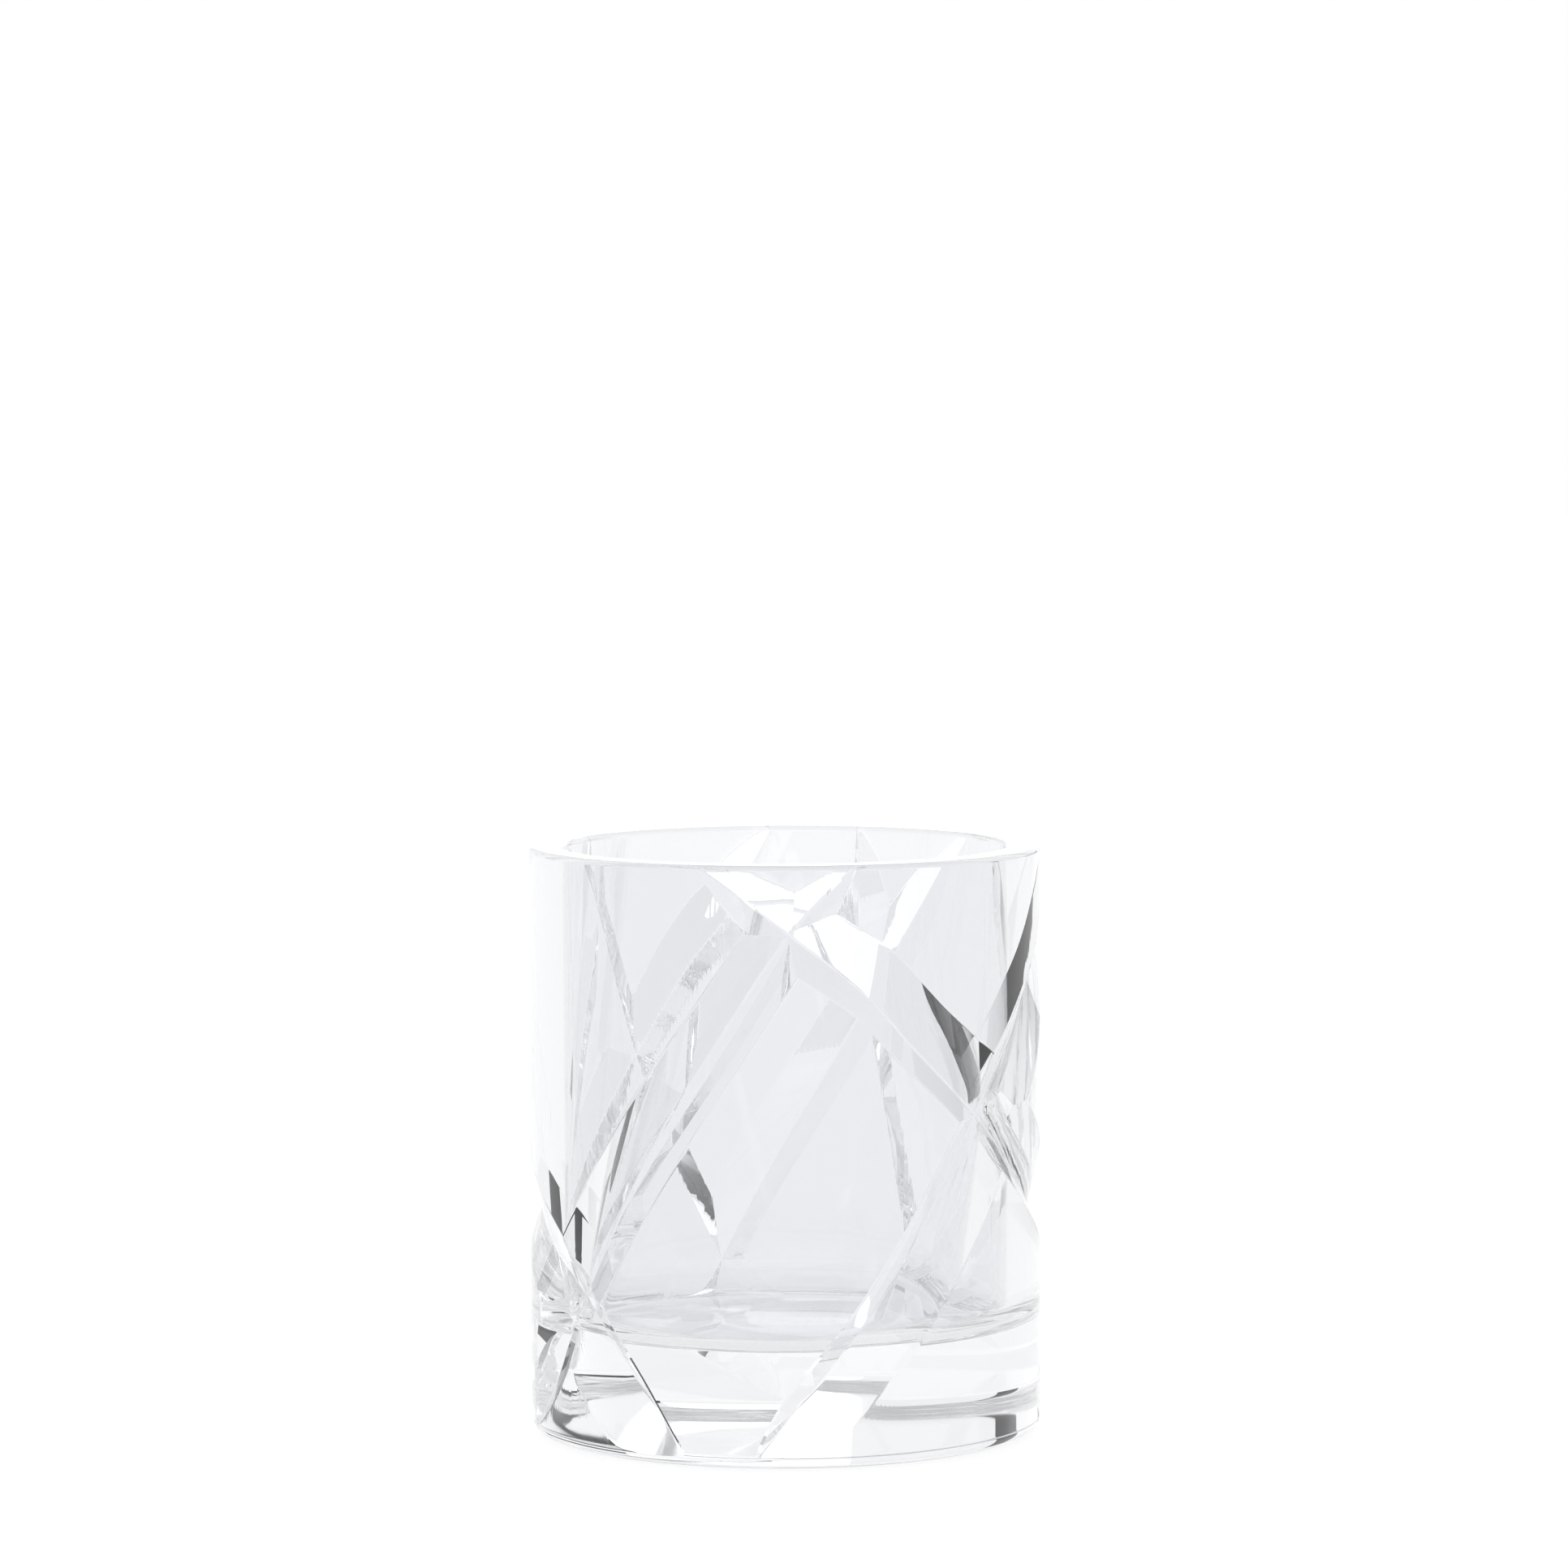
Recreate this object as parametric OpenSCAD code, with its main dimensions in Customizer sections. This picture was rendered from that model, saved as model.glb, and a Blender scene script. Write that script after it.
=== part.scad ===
// Whiskey tumbler of heavy clear crystal, in millimetres.
// One solid of glass: a straight round cup with a thick base, and long V cuts ground round its side.
// The origin is the centre of the foot, with +Z up and the front of the pattern towards -Y.

/* [Tumbler] */
// Outer diameter of the straight side
outer_d = 80; // [66:1:100]
// Height from the foot to the rim
height = 92; // [70:1:120]
// Thickness of the side wall
wall = 5.3; // [4.5:0.1:8]
// Thickness of the solid base under the inside floor
base = 17; // [10:0.5:28]
// Rounding between the inside floor and the wall
floor_r = 5; // [2:0.5:10]
// Rounding round the edge of the foot
foot_r = 2.4; // [1:0.1:4]
// Rounding on both edges of the flat rim
rim_r = 0.9; // [0.4:0.1:1.5]

/* [Cuts] */
// Depth of a cut along its middle
cut_depth = 2.1; // [1:0.1:3]
// Width of a cut's broad face
face_w = 8; // [6:0.5:9]
// Length over which a cut runs in below the rim
run_in = 24; // [14:1:30]
// Length over which a cut runs out at the foot
run_out = 15; // [8:1:20]

/* [Hidden] */
$fn = 96;

outer_r = outer_d / 2;
bore_r = outer_r - wall;
// How far a cut's ends stand off the surface, as a share of its depth
lift = 0.12;
// How far a cut's faces are carried on outside the surface, as a share of their width
proud = 0.5;
// Sections along one cut, and the corners of each
steps = 30;
corners = 4;
// Height that a cut's lowest end keeps above the foot's rounding
foot_gap = 0.6;

// A cut is a list of the places that its valley passes, top to bottom: the angle round the side
// in degrees, from the front to the right, the height as a percentage of the way up, and how
// wide its upper and its lower face are there, as shares of face_w.
// Two long cuts sweep down to the right, each nearly half way round.
cut_front = [
    [-21, 102, 0.75, 0.5], [1, 89, 0.8, 0.55], [18, 79, 0.9, 0.45], [32, 68, 0.95, 0.45],
    [50, 56, 1.1, 0.45], [75, 41, 1.2, 0.5], [112, 25, 1.1, 0.55], [148, -2, 0.9, 0.6]
];
cut_back = [
    [-178, 102, 0.8, 0.45], [-167, 88, 0.8, 0.45], [-153, 76, 0.8, 0.45], [-136, 61, 0.8, 0.5],
    [-108, 43, 0.9, 0.6], [-81, 34, 1.05, 0.8], [-54, 24, 0.5, 1.15], [-22, -2, 0.1, 1.2]
];
// Four cuts lean down to the left.
cut_left = [
    [17, 102, 0.65, 0.6], [1, 89, 0.65, 0.6], [-16, 70, 0.68, 0.65], [-30, 54, 0.75, 0.68],
    [-49, 30, 0.95, 0.65], [-65, 12, 1, 0.6], [-77, -2, 0.9, 0.6]
];
cut_right = [
    [105, 102, 0.6, 1], [88, 84, 0.6, 1], [70, 71, 0.6, 1.1], [50, 56, 0.5, 1.15],
    [27, 30, 0.4, 1.1], [13, 16, 0.35, 1], [-7, -2, 0.35, 0.8]
];
cut_steep = [[162, 102, 0.8, 0.35], [158, 80, 0.8, 0.35], [150, 55, 0.7, 0.4], [134, -2, 0.6, 0.5]];
cut_far = [
    [-102, 102, 0.5, 0.75], [-117, 89, 0.5, 0.75], [-134, 62, 0.5, 0.75], [-151, 37, 0.5, 0.75],
    [-180, -2, 0.45, 0.8]
];
// Two shorter cuts lean down to the right at the back.
cut_back_right = [
    [126, 102, 0.7, 0.45], [151, 76, 0.75, 0.45], [173, 51, 0.8, 0.45], [196, 23, 0.8, 0.45],
    [212, -2, 0.8, 0.45]
];
cut_far_left = [[-122, 102, 0.5, 0.5], [-116, 80, 0.5, 0.5], [-98, 52, 0.6, 0.5], [-86, 33, 0.6, 0.5]];
CUTS = [
    cut_front, cut_back, cut_left, cut_right, cut_steep, cut_far, cut_back_right, cut_far_left
];

function blend(a, b, t) = a + (b - a) * t;

// Height in millimetres of a percentage of the way from the foot's rounding to the rim's
function height_at(share) = blend(foot_r + foot_gap, height - rim_r, share / 100);

// Smooth curve through a path's points, u running from 0 at the first to 1 at the last
function between(a, b, c, d, t) =
    0.5 * (2 * b + (c - a) * t + (2 * a - 5 * b + 4 * c - d) * t * t + (3 * b - a - 3 * c + d) * t * t * t);
function along(path, u) =
    let (last = len(path) - 1, x = min(max(u, 0), 1) * last, i = min(floor(x), last - 1))
    between(path[max(i - 1, 0)], path[i], path[i + 1], path[min(i + 2, last)], x - i);

// A place laid out flat, in millimetres round the side and up
function flat(p) = [p[0] * outer_r * PI / 180, height_at(p[1])];
// A flat point wrapped round the side at radius r
function wrap(p, r) = let (a = p[0] * 180 / (PI * outer_r)) [r * sin(a), -r * cos(a), p[1]];

// Distance along the flat points from the first to number i
function run(points, i) = i == 0 ? 0 : run(points, i - 1) + norm(points[i] - points[i - 1]);

function reversed(list) = [for (i = [len(list) - 1 : -1 : 0]) list[i]];

// Share of the full depth at a distance from an end of the cut, where the wheel comes in on an arc
function deepen(distance, length) =
    distance < length ? 1 - (1 + lift) * pow((length - distance) / length, 2) : 1;

// The V-shaped grinding wheel's path through the glass, a closed solid that the cup is cut with
module cut(path) {
    places = [for (i = [0 : steps]) along(path, i / steps)];
    points = [for (place = places) flat(place)];
    total = run(points, steps);
    sections = [for (i = [0 : steps])
        let (
            p = points[i],
            ahead = points[min(i + 1, steps)] - points[max(i - 1, 0)],
            across = [-ahead[1], ahead[0]] / norm(ahead),
            up = across[1] > 0 ? across : -across,
            from_top = run(points, i),
            depth = cut_depth * min(deepen(from_top, run_in), deepen(total - from_top, run_out)),
            valley = wrap(p, outer_r - depth),
            deepest = wrap(p, outer_r - cut_depth),
            upper_face = wrap(p + up * face_w * places[i][2], outer_r) - deepest,
            lower_face = wrap(p - up * face_w * places[i][3], outer_r) - deepest
        )
        [
            valley,
            valley + upper_face * (1 + proud),
            wrap(p, outer_r + 2 * cut_depth),
            valley + lower_face * (1 + proud)
        ]];
    walls = [for (i = [0 : steps - 1], k = [0 : corners - 1])
        let (a = corners * i + k, b = corners * i + (k + 1) % corners)
        each [[a, b, a + corners], [b, b + corners, a + corners]]];
    turned = path[0][0] < path[1][0];
    last = corners * steps;
    faces = concat(walls, [[3, 2, 1, 0], [last, last + 1, last + 2, last + 3]]);
    polyhedron(
        [for (section = sections) each section],
        turned ? [for (f = faces) reversed(f)] : faces,
        convexity = 6
    );
}

// Half outline of the cup, from the axis under the foot round to the axis on the inside floor
module outline() {
    difference() {
        square([outer_r, height]);
        translate([outer_r - foot_r, 0]) difference() {
            square(foot_r);
            translate([0, foot_r]) circle(foot_r);
        }
        translate([outer_r - rim_r, height - rim_r]) difference() {
            square(rim_r);
            circle(rim_r);
        }
        translate([bore_r, height - rim_r]) difference() {
            square(rim_r);
            translate([rim_r, 0]) circle(rim_r);
        }
        translate([0, base + floor_r]) square([bore_r, height]);
        translate([0, base]) square([bore_r - floor_r, height]);
        translate([bore_r - floor_r, base + floor_r]) circle(floor_r);
    }
}

module tumbler() {
    color([0.9, 0.92, 0.94])
    difference() {
        rotate_extrude() outline();
        for (path = CUTS) cut(path);
    }
}

tumbler();
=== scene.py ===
import math
import bpy
import bmesh
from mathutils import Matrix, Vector


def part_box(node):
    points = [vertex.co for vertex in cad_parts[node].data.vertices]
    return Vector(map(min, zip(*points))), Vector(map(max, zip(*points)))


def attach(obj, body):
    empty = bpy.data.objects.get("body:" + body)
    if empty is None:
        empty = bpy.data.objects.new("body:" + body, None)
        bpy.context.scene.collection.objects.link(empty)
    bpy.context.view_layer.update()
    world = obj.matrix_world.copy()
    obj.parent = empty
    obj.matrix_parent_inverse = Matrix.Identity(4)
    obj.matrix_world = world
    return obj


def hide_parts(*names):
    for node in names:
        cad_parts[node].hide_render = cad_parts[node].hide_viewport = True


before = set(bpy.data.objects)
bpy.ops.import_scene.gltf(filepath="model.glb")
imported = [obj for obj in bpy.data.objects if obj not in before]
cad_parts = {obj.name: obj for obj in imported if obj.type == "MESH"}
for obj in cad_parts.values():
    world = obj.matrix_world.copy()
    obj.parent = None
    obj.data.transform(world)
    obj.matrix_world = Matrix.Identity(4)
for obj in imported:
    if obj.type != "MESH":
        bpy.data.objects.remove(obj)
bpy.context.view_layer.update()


# ---------------------------------------------------------------- studio
# The cup stands on a pale floor in an even white room, with a large soft light behind the camera
# and a smaller one straight behind the cup. The camera stands a metre in front with a long lens,
# and looks down a little over the rim.
camera_tilt = 4.31
camera_roll = 0.17
camera_data = bpy.data.cameras.new("camera")
camera_data.sensor_width = 36
camera_data.lens = 153.1
camera = bpy.data.objects.new("camera", camera_data)
camera.location = (0.0002, -1.040, 0.1798)
camera.rotation_euler = (math.radians(90 - camera_tilt), math.radians(camera_roll), 0)
bpy.context.scene.collection.objects.link(camera)
bpy.context.scene.camera = camera
bpy.context.scene.view_settings.view_transform = "Standard"

# Light passes through the cut glass many times before it comes out.
light_passes = 40
bpy.context.scene.cycles.max_bounces = light_passes
bpy.context.scene.cycles.transmission_bounces = light_passes
bpy.context.scene.cycles.glossy_bounces = light_passes

# The room's walls are white, and its ceiling is greyer and gives less light.
room = bpy.data.worlds.new("white_room")
room.use_nodes = True
nodes, links = room.node_tree.nodes, room.node_tree.links
direction = nodes.new("ShaderNodeTexCoord")
split = nodes.new("ShaderNodeSeparateXYZ")
dimming = nodes.new("ShaderNodeMapRange")
dimming.interpolation_type = "SMOOTHSTEP"
for socket, value in {"From Min": 0.35, "From Max": 0.65, "To Min": 1.0, "To Max": 0.55}.items():
    dimming.inputs[socket].default_value = value
links.new(direction.outputs["Generated"], split.inputs["Vector"])
links.new(split.outputs["Z"], dimming.inputs["Value"])
links.new(dimming.outputs["Result"], nodes["Background"].inputs["Strength"])
nodes["Background"].inputs["Color"].default_value = (1, 1, 1, 1)
bpy.context.scene.world = room

# The floor gives most of its light by itself, so that it is as white as the walls, and it lies
# just below the foot.
floor_white = bpy.data.materials.new("floor_white")
floor_white.use_nodes = True
floor_surface = floor_white.node_tree.nodes["Principled BSDF"]
floor_surface.inputs["Base Color"].default_value = (0.25, 0.25, 0.25, 1)
floor_surface.inputs["Roughness"].default_value = 0.8
floor_surface.inputs["Emission Color"].default_value = (1, 1, 1, 1)
floor_surface.inputs["Emission Strength"].default_value = 0.85

bpy.ops.object.select_all(action="DESELECT")
bpy.ops.mesh.primitive_plane_add(size=8, location=(0, 0, -0.0003))
floor = bpy.context.object
floor.name = "floor"
floor.data.materials.append(floor_white)

# Black cards stand far behind the cup on both sides. They draw the dark edges that make clear
# glass show up against white. The camera doesn't see the cards or the soft lights themselves,
# only what the glass shows of them.
card_black = bpy.data.materials.new("card_black")
card_black.use_nodes = True
card_surface = card_black.node_tree.nodes["Principled BSDF"]
card_surface.inputs["Base Color"].default_value = (0.01, 0.01, 0.012, 1)
card_surface.inputs["Roughness"].default_value = 0.9
card_surface.inputs["Specular IOR Level"].default_value = 0.1


def stand(name, surface, angle, width, bottom, top):
    """An upright sheet on a stand, hidden from the camera, at an angle round from behind the cup."""
    distance = 3
    bpy.ops.object.select_all(action="DESELECT")
    turn = math.radians(angle)
    bpy.ops.mesh.primitive_plane_add(size=1, rotation=(math.radians(90), 0, -turn))
    sheet = bpy.context.object
    sheet.name = name
    sheet.scale = (width, top - bottom, 1)
    sheet.location = (distance * math.sin(turn), distance * math.cos(turn), (bottom + top) / 2)
    sheet.visible_camera = False
    sheet.data.materials.append(surface)


def lit_cloth(name, strength):
    """The even white cloth on the front of a soft light."""
    cloth = bpy.data.materials.new(name)
    cloth.use_nodes = True
    surface = cloth.node_tree.nodes["Principled BSDF"]
    surface.inputs["Base Color"].default_value = (0, 0, 0, 1)
    surface.inputs["Specular IOR Level"].default_value = 0
    surface.inputs["Emission Color"].default_value = (1, 1, 1, 1)
    surface.inputs["Emission Strength"].default_value = strength
    return cloth


stand("card_right_low", card_black, angle=50, width=3.4, bottom=0, top=0.36)
stand("card_right_tall", card_black, angle=60, width=1.4, bottom=0, top=1.6)
stand("card_left", card_black, angle=-50, width=0.6, bottom=0, top=1.6)
stand("light_back", lit_cloth("light_back_cloth", 1.35), angle=5, width=1.6, bottom=0.15, top=1.7)
stand("light_front", lit_cloth("light_front_cloth", 1.7), angle=180, width=3.4, bottom=0, top=1.7)


# ---------------------------------------------------------------- cut glass
# The tumbler is one piece of clear crystal: a straight round cup with a thick base, pressed or
# blown to shape. Eight long V cuts are then ground round its outside, and every edge is polished
# back to bright glass.
low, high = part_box("tumbler")
outer_r = high.x
height = high.z


def mm(length):
    """A length in millimetres, in metres."""
    return length / 1000


bore_r = outer_r - mm(5.3)
base = mm(17)
floor_r = mm(5)
foot_r = mm(2.4)
rim_r = mm(0.9)
sides = 720
bpy.ops.object.select_all(action="DESELECT")
bpy.ops.mesh.primitive_cylinder_add(
    vertices=sides, radius=outer_r, depth=height, location=(0, 0, height / 2))
glass = bpy.context.object
glass.name = "cut_glass"
bpy.ops.object.transform_apply(location=True, rotation=True, scale=True)


def pick(kind, test):
    """Selects only the faces or edges, of the mesh that is open for editing, that pass a test."""
    bpy.ops.mesh.select_mode(type=kind)
    bpy.ops.mesh.select_all(action="DESELECT")
    mesh = bmesh.from_edit_mesh(bpy.context.object.data)
    for element in mesh.faces if kind == "FACE" else mesh.edges:
        element.select = test(element)
    mesh.select_flush_mode()
    bmesh.update_edit_mesh(bpy.context.object.data)


def in_circle(radius, z):
    """A test for the edges of one level circle of the cup."""
    near = mm(0.001)
    return lambda edge: all(
        abs(v.co.z - z) < near and abs(v.co.xy.length - radius) < near for v in edge.verts)


# The bore is sunk from the top, and the inside floor, the foot and both edges of the rim are
# rounded.
bpy.ops.object.mode_set(mode="EDIT")
pick("FACE", lambda face: face.normal.z > 0.9)
bpy.ops.mesh.inset(thickness=outer_r - bore_r)
bpy.ops.mesh.extrude_region_move(TRANSFORM_OT_translate={"value": (0, 0, base - height)})
for radius, z, rounding, segments in [(bore_r, base, floor_r, 12), (outer_r, 0, foot_r, 10),
                                      (outer_r, height, rim_r, 6), (bore_r, height, rim_r, 6)]:
    pick("EDGE", in_circle(radius, z))
    bpy.ops.mesh.bevel(offset=rounding, segments=segments, profile=0.5, affect="EDGES")
bpy.ops.mesh.select_all(action="SELECT")
bpy.ops.mesh.normals_make_consistent(inside=False)
bpy.ops.object.mode_set(mode="OBJECT")

# The grinding wheel comes in and goes out on an arc, so that a cut ends in points. Its edge is a
# little blunt, and polishing softens the cut's own edges. lift is how far a cut's ends stand off
# the surface, as a share of its depth, and burr how far its softened edges do, as a share of
# their width.
cut_depth = mm(2.1)
face_w = mm(8)
run_in = mm(24)
run_out = mm(15)
lift = 0.12
blunt = mm(0.45)
polish = mm(0.28)
burr = 0.03
foot_gap = mm(0.6)
steps = 101
corners = 7

# A cut is a list of the places that its valley passes, top to bottom: the angle round the side in
# degrees, from the front to the right, the height as a percentage of the way up, and how wide its
# upper and its lower face are there, as shares of face_w. Two long cuts sweep down to the right.
cut_front = [(-21, 102, 0.75, 0.5), (1, 89, 0.8, 0.55), (18, 79, 0.9, 0.45), (32, 68, 0.95, 0.45),
             (50, 56, 1.1, 0.45), (75, 41, 1.2, 0.5), (112, 25, 1.1, 0.55), (148, -2, 0.9, 0.6)]
cut_back = [(-178, 102, 0.8, 0.45), (-167, 88, 0.8, 0.45), (-153, 76, 0.8, 0.45),
            (-136, 61, 0.8, 0.5), (-108, 43, 0.9, 0.6), (-81, 34, 1.05, 0.8),
            (-54, 24, 0.5, 1.15), (-22, -2, 0.1, 1.2)]
# Four cuts lean down to the left.
cut_left = [(17, 102, 0.65, 0.6), (1, 89, 0.65, 0.6), (-16, 70, 0.68, 0.65),
            (-30, 54, 0.75, 0.68), (-49, 30, 0.95, 0.65), (-65, 12, 1, 0.6), (-77, -2, 0.9, 0.6)]
cut_right = [(105, 102, 0.6, 1), (88, 84, 0.6, 1), (70, 71, 0.6, 1.1), (50, 56, 0.5, 1.15),
             (27, 30, 0.4, 1.1), (13, 16, 0.35, 1), (-7, -2, 0.35, 0.8)]
cut_steep = [(162, 102, 0.8, 0.35), (158, 80, 0.8, 0.35), (150, 55, 0.7, 0.4),
             (134, -2, 0.6, 0.5)]
cut_far = [(-102, 102, 0.5, 0.75), (-117, 89, 0.5, 0.75), (-134, 62, 0.5, 0.75),
           (-151, 37, 0.5, 0.75), (-180, -2, 0.45, 0.8)]
# Two shorter cuts lean down to the right at the back.
cut_back_right = [(126, 102, 0.7, 0.45), (151, 76, 0.75, 0.45), (173, 51, 0.8, 0.45),
                  (196, 23, 0.8, 0.45), (212, -2, 0.8, 0.45)]
cut_far_left = [(-122, 102, 0.5, 0.5), (-116, 80, 0.5, 0.5), (-98, 52, 0.6, 0.5),
                (-86, 33, 0.6, 0.5)]
CUTS = [cut_front, cut_back, cut_left, cut_right, cut_steep, cut_far, cut_back_right, cut_far_left]


def along(path, u):
    """The place on a path's smooth curve, u from 0 at its first place to 1 at its last."""
    last = len(path) - 1
    x = u * last
    i = min(int(x), last - 1)
    t = x - i
    a, b, c, d = (Vector(path[k]) for k in (max(i - 1, 0), i, i + 1, min(i + 2, last)))
    return 0.5 * (2 * b + (c - a) * t + (2 * a - 5 * b + 4 * c - d) * t * t
                  + (3 * b - a - 3 * c + d) * t ** 3)


def wrap(flat, radius):
    """A place laid out flat, wrapped round the side at a radius."""
    angle = flat.x / outer_r
    return Vector((radius * math.sin(angle), -radius * math.cos(angle), flat.y))


def unwrap(point):
    """Where a point of the side lies when the side is laid out flat."""
    return Vector((math.atan2(point.x, -point.y) * outer_r, point.z))


def deepen(distance, length):
    """Share of the full depth at a distance from an end of a cut that runs in over a length."""
    return 1 - (1 + lift) * ((length - distance) / length) ** 2 if distance < length else 1


def face_end(start, face):
    """How much of a face, from its start, is below the side's surface, from 0 to 1."""
    a, b = face.xy.length_squared, start.xy.dot(face.xy)
    c = start.xy.length_squared - outer_r ** 2
    if c >= 0:
        return 0
    return (math.sqrt(b * b - a * c) - b) / a


def sections(path):
    """The wheel's section at each step: blunt edge, two faces, soft edges and a crown outside."""
    places = [along(path, i / steps) for i in range(steps + 1)]
    bottom = foot_r + foot_gap
    rise = height - rim_r - bottom
    points = [Vector((math.radians(p[0]) * outer_r, bottom + rise * p[1] / 100)) for p in places]
    runs = [0]
    for a, b in zip(points, points[1:]):
        runs.append(runs[-1] + (b - a).length)
    result = []
    for i, (place, p, run) in enumerate(zip(places, points, runs)):
        ahead = (points[min(i + 1, steps)] - points[max(i - 1, 0)]).normalized()
        up = Vector((-ahead.y, ahead.x))
        if up.y < 0:
            up = -up
        depth = cut_depth * min(deepen(run, run_in), deepen(runs[-1] - run, run_out))
        deepest = wrap(p, outer_r - cut_depth)
        side = []
        for way, share in ((up, place[2]), (-up, place[3])):
            face = wrap(p + way * face_w * share, outer_r) - deepest
            foot = wrap(p + way * blunt / 2, outer_r - depth)
            end = face_end(foot, face)
            inner = foot + face * max(end - polish / face.length, end / 2)
            edge = unwrap(foot + face * end) + way * polish
            softened = wrap(edge, outer_r + max(0, -depth) + polish * burr)
            side.append([foot, inner, softened])
        crown = wrap(p, outer_r + 2 * cut_depth)
        result.append([*side[0], crown, *reversed(side[1])])
    return result


def wheel_path(path):
    """The space that the grinding wheel takes out along a path, as a closed stick."""
    bpy.ops.object.select_all(action="DESELECT")
    bpy.ops.mesh.primitive_cylinder_add(vertices=corners, radius=1, depth=1, location=(0, 0, 0))
    stick = bpy.context.object
    bpy.ops.object.mode_set(mode="EDIT")
    pick("EDGE", lambda edge: abs(edge.verts[0].co.z - edge.verts[1].co.z) > 0.5)
    bpy.ops.mesh.subdivide(number_cuts=steps - 1)
    bpy.ops.object.mode_set(mode="OBJECT")
    placed = sections(path)
    for v in stick.data.vertices:
        step = round((v.co.z + 0.5) * steps)
        corner = round(math.atan2(v.co.x, v.co.y) / math.tau * corners) % corners
        v.co = placed[step][corner]
    bpy.ops.object.mode_set(mode="EDIT")
    bpy.ops.mesh.select_all(action="SELECT")
    bpy.ops.mesh.normals_make_consistent(inside=False)
    bpy.ops.object.mode_set(mode="OBJECT")
    return stick


for path in CUTS:
    stick = wheel_path(path)
    bpy.ops.object.select_all(action="DESELECT")
    bpy.context.view_layer.objects.active = glass
    glass.select_set(True)
    cut = glass.modifiers.new("cut", "BOOLEAN")
    cut.operation = "DIFFERENCE"
    cut.solver = "EXACT"
    cut.object = stick
    bpy.ops.object.modifier_apply(modifier=cut.name)
    bpy.data.objects.remove(stick)

# Specks that the cutting leaves are closed up, and the polish runs smoothly over the small facets
# but breaks at the edges of a cut.
bpy.ops.object.select_all(action="DESELECT")
bpy.context.view_layer.objects.active = glass
glass.select_set(True)
bpy.ops.object.mode_set(mode="EDIT")
bpy.ops.mesh.select_all(action="SELECT")
bpy.ops.mesh.remove_doubles(threshold=mm(0.003))
bpy.ops.mesh.dissolve_degenerate(threshold=mm(0.001))
bpy.ops.object.mode_set(mode="OBJECT")
bpy.ops.object.shade_smooth_by_angle(angle=math.radians(18))
even = glass.modifiers.new("even_shading", "WEIGHTED_NORMAL")
even.mode = "FACE_AREA"
even.keep_sharp = True
even.weight = 80
bpy.ops.object.modifier_apply(modifier=even.name)

# The crystal is clear, with a trace of cool grey.
crystal = bpy.data.materials.new("clear_crystal")
crystal.use_nodes = True
nodes, links = crystal.node_tree.nodes, crystal.node_tree.links
surface = nodes["Principled BSDF"]
surface.inputs["Base Color"].default_value = (0.875, 0.88, 0.895, 1)
surface.inputs["Transmission Weight"].default_value = 1.0
surface.inputs["IOR"].default_value = 1.54
place = nodes.new("ShaderNodeTexCoord")

# Slow upright waves stay in the wall from the mould, under the polish.
stretch = nodes.new("ShaderNodeMapping")
stretch.inputs["Scale"].default_value = (1, 1, 0.25)
waves = nodes.new("ShaderNodeTexNoise")
waves.inputs["Scale"].default_value = 70
waves.inputs["Detail"].default_value = 1.0
polish_waves = nodes.new("ShaderNodeBump")
polish_waves.inputs["Strength"].default_value = 0.5
polish_waves.inputs["Distance"].default_value = mm(0.06)
links.new(place.outputs["Object"], stretch.inputs["Vector"])
links.new(stretch.outputs["Vector"], waves.inputs["Vector"])
links.new(waves.outputs["Fac"], polish_waves.inputs["Height"])
links.new(polish_waves.outputs["Normal"], surface.inputs["Normal"])

# The foot is worn a little dull where it slides on tables, and the rest keeps a fresh polish.
split = nodes.new("ShaderNodeSeparateXYZ")
worn = nodes.new("ShaderNodeMapRange")
for socket, value in {"From Min": 0, "From Max": mm(0.5), "To Min": 0.12, "To Max": 0}.items():
    worn.inputs[socket].default_value = value
rubbing = nodes.new("ShaderNodeTexNoise")
rubbing.inputs["Scale"].default_value = 900
rubbing.inputs["Detail"].default_value = 4.0
dulled = nodes.new("ShaderNodeMath")
dulled.operation = "MULTIPLY"
links.new(place.outputs["Object"], split.inputs["Vector"])
links.new(split.outputs["Z"], worn.inputs["Value"])
links.new(place.outputs["Object"], rubbing.inputs["Vector"])
links.new(worn.outputs["Result"], dulled.inputs[0])
links.new(rubbing.outputs["Fac"], dulled.inputs[1])
links.new(dulled.outputs["Value"], surface.inputs["Roughness"])
glass.data.materials.clear()
glass.data.materials.append(crystal)
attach(glass, "root")
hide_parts("tumbler")
